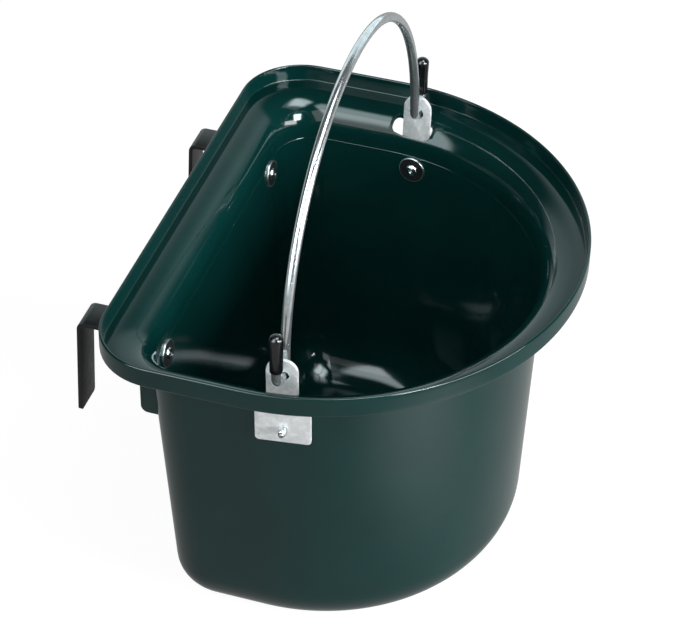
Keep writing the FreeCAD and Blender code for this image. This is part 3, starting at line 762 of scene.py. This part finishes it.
def hook(side):
    rows = strap_rows()
    points, faces = [], []
    for i, (point, half) in enumerate(rows):
        ahead = rows[min(i + 1, len(rows) - 1)][0] - rows[max(i - 1, 0)][0]
        inward = Vector((ahead.y, -ahead.x)).normalized() * HOOK_THICKNESS
        for place in (point, point + inward):
            for x in (HOOK_X - half, HOOK_X + half):
                points.append(SIDES[side] @ (Vector((x, place.x, place.y)) * MM))
    for i in range(len(rows) - 1):
        a, b = 4 * i, 4 * i + 4
        faces += [(a, a + 1, b + 1, b), (a + 2, b + 2, b + 3, a + 3)]
        faces += [(a, b, b + 2, a + 2), (a + 1, a + 3, b + 3, b + 1)]
    last = 4 * len(rows) - 4
    faces += [(0, 2, 3, 1), (last, last + 1, last + 3, last + 2)]
    made = mesh_object("hook_strap_" + side, points, faces, coat)
    soften(made, HOOK_BEVEL, HOOK_SHARP)
    return polished(made, coat)


for side in SIDES:
    made = hook(side)
    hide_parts("hook_" + side)
    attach(made, "trough")
print("hooks made")

# %% [markdown]
# The rivets, their formed tails and the washers are turned shapes that repeat at four seats.
# Each is drawn once as half a section, (x, radius), and lathed about x, which is the
# outward direction of its seat. A blind rivet has a low dome inside, a swollen tail outside
# and a bore for its pulling stem.

# %% Turned templates
LATHE_STEPS, DOME_STEPS, TAIL_STEPS, EDGE_STEPS = 64, 10, 6, 6
RIVET_SHANK, RIVET_HEAD, RIVET_HEAD_HEIGHT, RIVET_TAIL, RIVET_TAIL_LENGTH = 2.4, 4.7, 1.9, 3.2, 5.5
RIVET_TAPER, HEAD_SHANK, TAIL_SHANK, RIVET_SOFT, RIVET_EDGE = 0.7, 2.5, 2, 0.2, 0.15
HEAD_EDGE_HEIGHT, MOUTH_SOFT = 0.12, 0.25
STEM, STEM_GAP = 1.3, 0.05
WASHER, WASHER_THICKNESS, WASHER_EDGE, WASHER_GAP = 10.5, 1.5, 0.6, 0.02
WASHER_HOLE_GAP, WASHER_BACK_IN, WASHER_BACK_OUT, PAINTED_RIM_WIDTH = 0.1, 2, 0.8, 1.2


def lathed(name, outline, material):
    """A closed outline of (x, radius) turned about x."""
    points = []
    for i in range(LATHE_STEPS):
        turn = math.tau * i / LATHE_STEPS
        points += [(x * MM, r * math.cos(turn) * MM, r * math.sin(turn) * MM) for x, r in outline]
    return mesh_object(name, points, grid_faces(LATHE_STEPS, len(outline), True, True), material)


def quarter(count):
    """Angles from 0 to a right angle, in radians."""
    return [math.pi / 2 * i / count for i in range(count + 1)]


def rivet_head():
    bore = STEM + STEM_GAP
    chord, height = RIVET_HEAD - bore, RIVET_HEAD_HEIGHT
    outline = [(HEAD_SHANK, bore), (HEAD_SHANK, RIVET_SHANK), (0, RIVET_SHANK), (0, RIVET_HEAD - RIVET_EDGE)]
    outline += [(-HEAD_EDGE_HEIGHT, RIVET_HEAD)]
    outline += [(-height * math.sin(t), bore + chord * math.cos(t)) for t in quarter(DOME_STEPS)[1:-1]]
    outline += [(-height, bore + MOUTH_SOFT), (RIVET_SOFT - height, bore)]
    return lathed("rivet_head", outline, aluminium)


def rivet_tail():
    bore, length, mouth = STEM + STEM_GAP, RIVET_TAIL_LENGTH, RIVET_TAIL - RIVET_TAPER
    outline = [(-TAIL_SHANK, bore), (-TAIL_SHANK, RIVET_SHANK), (0, RIVET_SHANK)]
    outline += [(0, RIVET_TAIL - RIVET_SOFT), (RIVET_SOFT, RIVET_TAIL)]
    for i in range(TAIL_STEPS):
        along = length / 2 + length / 2 * i / TAIL_STEPS
        outline.append((along, RIVET_TAIL - RIVET_TAPER * (i / TAIL_STEPS) ** 2))
    outline += [(length - RIVET_EDGE, mouth), (length, mouth - RIVET_SOFT)]
    outline += [(length, bore + RIVET_SOFT), (length - RIVET_SOFT, bore)]
    return lathed("rivet_tail", outline, aluminium)


def washer():
    """A flat ring with a rounded edge, and on every point how strongly it takes the painted bright rim, from
    0 to 1.
    """
    hole, flat = RIVET_SHANK + WASHER_HOLE_GAP, WASHER - WASHER_EDGE
    outline = [(0, hole), (WASHER_THICKNESS, hole), (WASHER_THICKNESS, WASHER)]
    outline += [(WASHER_EDGE - WASHER_EDGE * math.sin(t), flat + WASHER_EDGE * math.cos(t))
                for t in quarter(EDGE_STEPS)]
    outline += [(0, flat - WASHER_BACK_OUT), (0, hole + WASHER_BACK_IN)]
    made = lathed("washer", outline, washer_black)
    painted_rim = made.data.attributes.new("painted_rim", "FLOAT", "POINT")
    # The value for the painted bright rim rises across the outer edge of the washer.
    for vertex in made.data.vertices:
        rim = math.hypot(vertex.co.y, vertex.co.z) / MM - WASHER + PAINTED_RIM_WIDTH
        painted_rim.data[vertex.index].value = max(0.0, min(1.0, rim))
    return made


templates = dict(rivet_heads=rivet_head(), rivet_tails=rivet_tail(), washers=washer())
print("templates", list(templates))

# %% [markdown]
# A Geometry Nodes tree copies a template to points that carry the outward direction of their
# seat, so a change to the template or to a seat changes all four. The copies are realised
# and made a plain mesh at the end, because the export keeps neither copies nor modifiers.

# %% Geometry Nodes tree that fastens a template at every seat
def tree_with(name, sockets):
    """An empty Geometry Nodes tree with a geometry input and output and the named inputs."""
    tree = bpy.data.node_groups.new(name, "GeometryNodeTree")
    tree.interface.new_socket("Geometry", in_out="INPUT", socket_type="NodeSocketGeometry")
    for label, kind in sockets:
        tree.interface.new_socket(label, in_out="INPUT", socket_type=kind)
    tree.interface.new_socket("Geometry", in_out="OUTPUT", socket_type="NodeSocketGeometry")
    return tree, tree.nodes.new("NodeGroupInput").outputs


def realised(tree, shape, material):
    """The end of a tree: real geometry with its material."""
    real = add(tree, "GeometryNodeRealizeInstances", Geometry=shape).outputs[0]
    coated = add(tree, "GeometryNodeSetMaterial", Geometry=real, Material=material).outputs[0]
    add(tree, "NodeGroupOutput", i0=coated)
    return tree


def grown(name, seed_object, tree, settings, material):
    """The tree's result on an object as a new plain mesh object; the modifier doesn't stay."""
    modifier = seed_object.modifiers.new(tree.name, "NODES")
    modifier.node_group = tree
    for item in tree.interface.items_tree:
        if item.in_out == "INPUT" and item.name in settings:
            modifier[item.identifier] = settings[item.name]
    mesh = plain_mesh(seed_object)
    bpy.data.objects.remove(seed_object)
    return polished(placed_object(name, mesh), material)


def seats_tree():
    sockets = [("Template", "NodeSocketObject"), ("Material", "NodeSocketMaterial")]
    tree, given = tree_with("fasten_at_seats", sockets)
    facing = add(tree, "GeometryNodeInputNamedAttribute", dict(data_type="FLOAT_VECTOR"), Name="outward")
    turned = add(tree, "FunctionNodeAlignRotationToVector", dict(axis="X"), Vector=facing.outputs[0])
    shape = add(tree, "GeometryNodeObjectInfo", Object=given["Template"]).outputs["Geometry"]
    points = add(tree, "GeometryNodeMeshToPoints", Mesh=given["Geometry"], Radius=0.0).outputs[0]
    copies = add(tree, "GeometryNodeInstanceOnPoints", Points=points, Instance=shape,
                 Rotation=turned.outputs[0])
    return realised(tree, copies.outputs[0], given["Material"])


def seat_points(name, ear_x, hook_x):
    """One point at each of the four seats, at its own distance along the outward direction."""
    places = []
    for mirror in SIDES.values():
        places += [(mirror @ EAR_SEAT, ear_x), (mirror @ HOOK_SEAT, hook_x)]
    mesh = bpy.data.meshes.new(name)
    mesh.from_pydata([place @ Vector((x * MM, 0, 0)) for place, x in places], [], [])
    outward = mesh.attributes.new("outward", "FLOAT_VECTOR", "POINT")
    for i, (place, x) in enumerate(places):
        outward.data[i].vector = (place.to_3x3() @ Vector((1, 0, 0))).normalized()
    return placed_object(name, mesh)


fasten = seats_tree()
print("nodes in the tree", len(fasten.nodes))

# %% [markdown]
# Heads and washers lie inside the wall and tails outside the plate or strap, so each template
# has its own distance from the seat. Inside, the flat washer bridges the round wall, and the
# bridge is the small height that the curve leaves under its middle. The stems keep their
# engineering solids and only get their finish here.

# %% Rivets and washers
ear_wall = wall_at(EAR_RIVET_Z)[0] - WALL
BRIDGE = ear_wall - math.sqrt(ear_wall ** 2 - WASHER ** 2)
GRIP_HOOK = WALL + WASHER_GAP + WASHER_THICKNESS
GRIP_EAR = GRIP_HOOK + BRIDGE
FASTENERS = {
    "rivet_heads": ("rivet", aluminium, (-GRIP_EAR, -GRIP_HOOK), "rivet_aluminium"),
    "rivet_tails": ("rivet", aluminium, (LAND + EAR_THICKNESS, HOOK_THICKNESS), "rivet_aluminium"),
    "washers": ("washer", washer_black, (-GRIP_EAR, -GRIP_HOOK), "washer_black"),
}
for name, (kind, finish, (ear_x, hook_x), slot) in FASTENERS.items():
    settings = dict(Template=templates[name], Material=finish)
    made = grown(name, seat_points(name + "_seats", ear_x, hook_x), fasten, settings, finish)
    bpy.data.objects.remove(templates[name])
    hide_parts(*(f"{carrier}_{kind}_{side}" for carrier in ("ear", "hook") for side in SIDES))
    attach(made, "trough")
    print(name, "faces", len(made.data.polygons))

for carrier in ("ear", "hook"):
    for side in SIDES:
        stem = frame["nodes"][f"{carrier}_rivet_stem_{side}"]
        stem.data.materials.clear()
        stem.data.materials.append(stem_steel)
print("stems keep their own solids")

# %% [markdown]
# The bail is one length of 7 mm wire. It is a path with a round section, so its middle line is
# worked out as points, and a Geometry Nodes tree turns the line into a curve and sweeps a
# circle along it. The arch is a single arc; at each end the wire turns out through the ear
# and stands up outside it.

# %% Bail
BAIL_HEIGHT, BAIL_BEND, BAIL_EYE_RUN, BAIL_END = 421.45, 7.5, 3.0, 301.5
LEG_STEPS, EYE_STEPS, ARCH_STEPS, WIRE_SIDES = 6, 14, 90, 48
EAR_MIDDLE = Vector(((LAND + EAR_THICKNESS / 2) * MM, 0, (PIVOT_Z - EAR_RIVET_Z) * MM))
OUT_X = (EAR_SEAT @ EAR_MIDDLE).x / MM
LEG_X = OUT_X + BAIL_EYE_RUN + BAIL_BEND


def bail_line():
    """The wire's middle line as (x, z): the right-hand half, from its end up to the apex."""
    apex = BAIL_HEIGHT - WIRE
    rise = apex - PIVOT_Z - BAIL_BEND
    radius = (rise ** 2 + OUT_X ** 2 - BAIL_BEND ** 2) / (2 * (rise + BAIL_BEND))
    arch_z, eye_z = apex - radius, PIVOT_Z + BAIL_BEND
    start = math.degrees(math.asin((eye_z - arch_z) / (radius + BAIL_BEND)))
    line = [(LEG_X, BAIL_END + (eye_z - BAIL_END) * i / LEG_STEPS) for i in range(LEG_STEPS)]
    line += arc((LEG_X - BAIL_BEND, eye_z), BAIL_BEND, 0, -90, EYE_STEPS)
    line += arc((OUT_X, eye_z), BAIL_BEND, -90, -180 + start, EYE_STEPS)
    line += arc((0, arch_z), radius, start, 90, ARCH_STEPS)[1:]
    return line


def wire_tree():
    sockets = [("Wire Radius", "NodeSocketFloat"), ("Sides", "NodeSocketInt")]
    sockets.append(("Material", "NodeSocketMaterial"))
    tree, given = tree_with("wire_along_line", sockets)
    line = add(tree, "GeometryNodeMeshToCurve", Mesh=given["Geometry"]).outputs[0]
    circle = add(tree, "GeometryNodeCurvePrimitiveCircle", Resolution=given["Sides"],
                 Radius=given["Wire Radius"]).outputs[0]
    swept = add(tree, "GeometryNodeCurveToMesh", Curve=line, Profile_Curve=circle, Fill_Caps=True).outputs[0]
    return realised(tree, swept, given["Material"])


half_line = bail_line()
line = half_line + [(-x, z) for x, z in half_line[-2::-1]]
steps = [(i, i + 1) for i in range(len(line) - 1)]
path = bpy.data.meshes.new("bail_path")
path.from_pydata([Vector((x, EAR_Y, z)) * MM for x, z in line], steps, [])
settings = {"Wire Radius": WIRE * MM, "Sides": WIRE_SIDES, "Material": wire_zinc}
bail = grown("bail_wire", placed_object("bail_path", path), wire_tree(), settings, wire_zinc)
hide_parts("bail")
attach(bail, "handle")
print("bail faces", len(bail.data.polygons))

# %% [markdown]
# A soft cap covers each end of the wire. It was dipped, so its wall is thin, its end is a full
# dome a little wider than the sleeve, and its mouth has a small soft lip. It is half a section
# turned about the wire's upright end.

# %% Caps
CAP_OPEN, CAP_WALL, CAP_GAP, CAP_TOP, CAP_BULGE = 273.0, 1.05, 0.05, 2.2, 0.35
CAP_DOME, CAP_NECK, CAP_LIP, CAP_LIP_SOFT, CAP_MOUTH_IN, CAP_MOUTH_UP = 0.8, 0.55, 0.4, 0.12, 0.2, 0.3
CAP_STEPS, CAP_DOME_STEPS, CAP_NECK_STEPS, CAP_SLEEVE_STEPS = 56, 14, 8, 4


def cap_section():
    """Half the cap's section as (radius, z), from the top of the dome to the end of the bore."""
    bore = WIRE + CAP_GAP
    mouth = bore + CAP_WALL
    full = mouth + CAP_BULGE
    inner_top = BAIL_END + CAP_GAP
    top = inner_top + CAP_TOP
    shoulder = top - full * CAP_DOME
    neck = CAP_OPEN + (shoulder - CAP_OPEN) * CAP_NECK
    outline = [(0, top)]
    for turn in quarter(CAP_DOME_STEPS)[1:]:
        outline.append((full * math.sin(turn), shoulder + (top - shoulder) * math.cos(turn)))
    for i in range(1, CAP_NECK_STEPS + 1):
        share = i / CAP_NECK_STEPS
        ease = share * share * (3 - 2 * share)
        outline.append((full + (mouth - full) * ease, shoulder + (neck - shoulder) * share))
    for i in range(1, CAP_SLEEVE_STEPS + 1):
        outline.append((mouth, neck + (CAP_OPEN + CAP_LIP - neck) * i / CAP_SLEEVE_STEPS))
    outline += [(mouth - CAP_LIP_SOFT, CAP_OPEN + CAP_LIP_SOFT), (mouth - CAP_LIP, CAP_OPEN)]
    outline += [(bore + CAP_MOUTH_IN, CAP_OPEN), (bore, CAP_OPEN + CAP_MOUTH_UP)]
    return outline + [(bore, inner_top), (0, inner_top)]


def cap(side):
    outline = cap_section()
    points = []
    for i in range(CAP_STEPS):
        turn = math.tau * i / CAP_STEPS
        for r, z in outline:
            point = Vector((LEG_X + r * math.cos(turn), EAR_Y + r * math.sin(turn), z))
            points.append(SIDES[side] @ (point * MM))
    faces = grid_faces(CAP_STEPS, len(outline), True, False)
    return mesh_object("bail_cap_soft_" + side, points, faces, vinyl)


for side in SIDES:
    made = cap(side)
    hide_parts("bail_cap_" + side)
    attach(made, "handle")
print("caps made")

# %% [markdown]
# The studio is plain: a pale floor that keeps a faint shadow and a white room all round. Both
# look white to the camera, and through clear things, by way of Light Path, so the light on the
# trough stays at a plain level. Reflections see something else. In them the floor is a middle
# grey with one painted pool of light that glows, in front of the tub to the left. The floor
# reaches so far that its edge is out of sight; its reach and the pool's place and size are in metres.

# %% Floor
FLOOR_REACH, FLOOR_LUMP = 30.0, 200
FLOOR_SEEN, FLOOR_IN_GLOSS, POOL_IN_GLOSS = 0.92, 0.30, 0.85
POOL, POOL_FULL, POOL_EDGE = (-0.21, -0.30, 0), 0.02, 0.21


def shown_white(tree, path):
    """1 for camera and transmission rays, which are shown the white studio, and 0 for others."""
    return add(tree, "ShaderNodeMath", dict(operation="MAXIMUM"), i0=path["Is Camera Ray"],
               i1=path["Is Transmission Ray"]).outputs[0]


def floor_finish():
    material, tree, place = new_material("studio_floor_matt_white")
    lump = add(tree, "ShaderNodeTexNoise", Vector=place, Scale=scale_for(FLOOR_LUMP), Detail=2).outputs[0]
    tone = add(tree, "ShaderNodeValToRGB", stops=around_middle("#747474", "#787878"), Fac=lump).outputs[0]
    matt = add(tree, "ShaderNodeBsdfDiffuse", Color=tone).outputs[0]
    path = add(tree, "ShaderNodeLightPath").outputs
    # Painted pool of light: a round patch of the floor glows brighter, only in reflections.
    away = add(tree, "ShaderNodeVectorMath", dict(operation="DISTANCE"), i0=place, i1=POOL).outputs["Value"]
    pool = add(tree, "ShaderNodeMapRange", dict(interpolation_type="SMOOTHSTEP"), Value=away, i1=POOL_FULL,
               i2=POOL_EDGE, i3=FLOOR_IN_GLOSS + POOL_IN_GLOSS, i4=FLOOR_IN_GLOSS).outputs[0]
    gloss = add(tree, "ShaderNodeMath", dict(operation="MULTIPLY"), i0=path["Is Glossy Ray"], i1=pool)
    strength = add(tree, "ShaderNodeMath", dict(operation="MULTIPLY_ADD"), i0=shown_white(tree, path),
                   i1=FLOOR_SEEN, i2=gloss.outputs[0]).outputs[0]
    glow = add(tree, "ShaderNodeEmission", Strength=strength).outputs[0]
    both = add(tree, "ShaderNodeAddShader", i0=matt, i1=glow).outputs[0]
    add(tree, "ShaderNodeOutputMaterial", Surface=both)
    return material


floor_corners = [(x * FLOOR_REACH, y * FLOOR_REACH, 0) for x, y in ((-1, -1), (1, -1), (1, 1), (-1, 1))]
floor = mesh_object("studio_floor", floor_corners, [(0, 1, 2, 3)], floor_finish())
print("floor", len(floor.data.polygons))

# %% [markdown]
# Dark glossy plastic shows its room more than its own colour, and in an even white room it
# would look pale and flat. So reflections see a dim room with a pale horizon and four bright
# panes: a tall window, a small lamp, a lit ceiling and a wide screen. They shine only in the
# gloss and add nothing to the matt light on the trough, and their directions were worked out
# from the highlights in the photograph. Each is given as radiance, azimuth, elevation, width
# and height in degrees, and how soft its edge is.

# %% Room
ROOM_LIGHT, ROOM_DIM = 0.21, 0.03
HORIZON_LOW, HORIZON_HIGH = 0.02, 0.10
PANES = {
    "window": (8.0, 147.5, 36, 29, 60, 0.2),
    "lamp": (50.0, -123, 31, 17, 22, 0.25),
    "ceiling": (15.0, -107, 78, 26, 20, 0.4),
    "screen": (1.2, 12, 20, 96, 46, 0.35),
}


def toward(azimuth, elevation):
    """Unit vector; azimuth from +X toward +Y, both in degrees."""
    a, e = math.radians(azimuth), math.radians(elevation)
    return Vector((math.cos(e) * math.cos(a), math.cos(e) * math.sin(a), math.sin(e)))


def pane(tree, facing, azimuth, elevation, wide, tall, soft):
    """1 inside a soft-edged rectangle of the sky, 0 outside; wide and tall in degrees."""
    middle = toward(azimuth, elevation)
    side = toward(azimuth + 90, 0)
    ahead = add(tree, "ShaderNodeVectorMath", dict(operation="DOT_PRODUCT"), i0=facing,
                i1=middle).outputs["Value"]
    share = add(tree, "ShaderNodeMath", dict(operation="GREATER_THAN"), i0=ahead, i1=0.0).outputs[0]
    for axis, size in ((side, wide), (middle.cross(side), tall)):
        along = add(tree, "ShaderNodeVectorMath", dict(operation="DOT_PRODUCT"), i0=facing,
                    i1=axis).outputs["Value"]
        slope = add(tree, "ShaderNodeMath", dict(operation="DIVIDE"), i0=along, i1=ahead).outputs[0]
        away = add(tree, "ShaderNodeMath", dict(operation="ABSOLUTE"), i0=slope).outputs[0]
        edge = math.tan(math.radians(size / 2))
        inside = add(tree, "ShaderNodeMapRange", dict(interpolation_type="SMOOTHSTEP"), Value=away,
                     i1=edge * (1 - soft), i2=edge * (1 + soft), i3=1.0, i4=0.0).outputs[0]
        share = add(tree, "ShaderNodeMath", dict(operation="MULTIPLY"), i0=share, i1=inside).outputs[0]
    return share


world = bpy.data.worlds.new("studio_room")
bpy.context.scene.world = world
world.use_nodes = True
tree = world.node_tree
tree.nodes.clear()
path = add(tree, "ShaderNodeLightPath").outputs
facing = add(tree, "ShaderNodeTexCoord").outputs["Generated"]
height = add(tree, "ShaderNodeSeparateXYZ", Vector=facing).outputs["Z"]
gloss = add(tree, "ShaderNodeMapRange", dict(interpolation_type="SMOOTHSTEP"), Value=height,
            i1=HORIZON_LOW, i2=HORIZON_HIGH, i3=1.0, i4=ROOM_DIM).outputs[0]
for radiance, azimuth, elevation, wide, tall, soft in PANES.values():
    lit = pane(tree, facing, azimuth, elevation, wide, tall, soft)
    gloss = add(tree, "ShaderNodeMath", dict(operation="MULTIPLY_ADD"), i0=lit, i1=radiance,
                i2=gloss).outputs[0]
level = add(tree, "ShaderNodeMix", dict(data_type="FLOAT"), i0=path["Is Glossy Ray"], i2=ROOM_LIGHT, i3=gloss)
white = add(tree, "ShaderNodeMix", dict(data_type="FLOAT"), i0=shown_white(tree, path), i2=level.outputs[0],
            i3=1.0).outputs[0]
tint = add(tree, "ShaderNodeMix", dict(data_type="RGBA"), i0=path["Is Glossy Ray"], i6=linear("#ffffff"),
           i7=linear("#eafbff")).outputs[2]
room = add(tree, "ShaderNodeBackground", Color=tint, Strength=white).outputs[0]
add(tree, "ShaderNodeOutputWorld", Surface=room)
print("room", len(tree.nodes), "nodes")

# %% [markdown]
# Three soft lamps shape the trough: a weak one from the left, a strong one from the front,
# which is on the right in the picture, and a weak one from above. Their places and sizes are
# in metres. The camera stands where the photograph was taken, to the left of the trough and
# above it, and its long lens keeps the perspective as slight as it is there.

# %% Lights and camera
SENSOR, LENS, CAMERA_FAR = 36.0, 129.04, 100
CAMERA_PLACE = (-1.304058, -0.390288, 1.316476)
CAMERA_RIGHT, CAMERA_UP = (0.30499, -0.95230, 0.01057), (0.60479, 0.20224, 0.77028)
CAMERA_BACK = (-0.73567, -0.22854, 0.63762)


def softbox(name, place, target, width, height, watts):
    light = bpy.data.lights.new(name, "AREA")
    light.shape = "RECTANGLE"
    light.size, light.size_y = width, height
    light.energy = watts
    made = placed_object(name, light)
    made.location = place
    made.rotation_euler = (Vector(place) - Vector(target)).to_track_quat("Z", "Y").to_euler()
    return made


softbox("softbox_left", (-1.35, 0.25, 1.05), (0.0, 0, 0.24), 0.9, 1.3, 9)
softbox("softbox_right", (-0.35, -1.95, 0.70), (0, 0, 0.2), 1.3, 0.7, 50)
softbox("softbox_top", (0.1, -0.5, 1.9), (0, 0, 0.24), 1.0, 0.7, 4)

lens = bpy.data.cameras.new("camera")
lens.sensor_width, lens.lens, lens.clip_end = SENSOR, LENS, CAMERA_FAR
camera = placed_object("camera", lens)
turned = [(CAMERA_RIGHT[i], CAMERA_UP[i], CAMERA_BACK[i], CAMERA_PLACE[i]) for i in range(3)]
camera.matrix_world = Matrix(turned + [(0, 0, 0, 1)])
bpy.context.scene.camera = camera
bpy.context.scene.view_settings.view_transform = "Standard"
print("camera at", CAMERA_PLACE)

# %% [markdown]
# At the end the scene is brought up to date.

# %% Last update
bpy.context.view_layer.update()
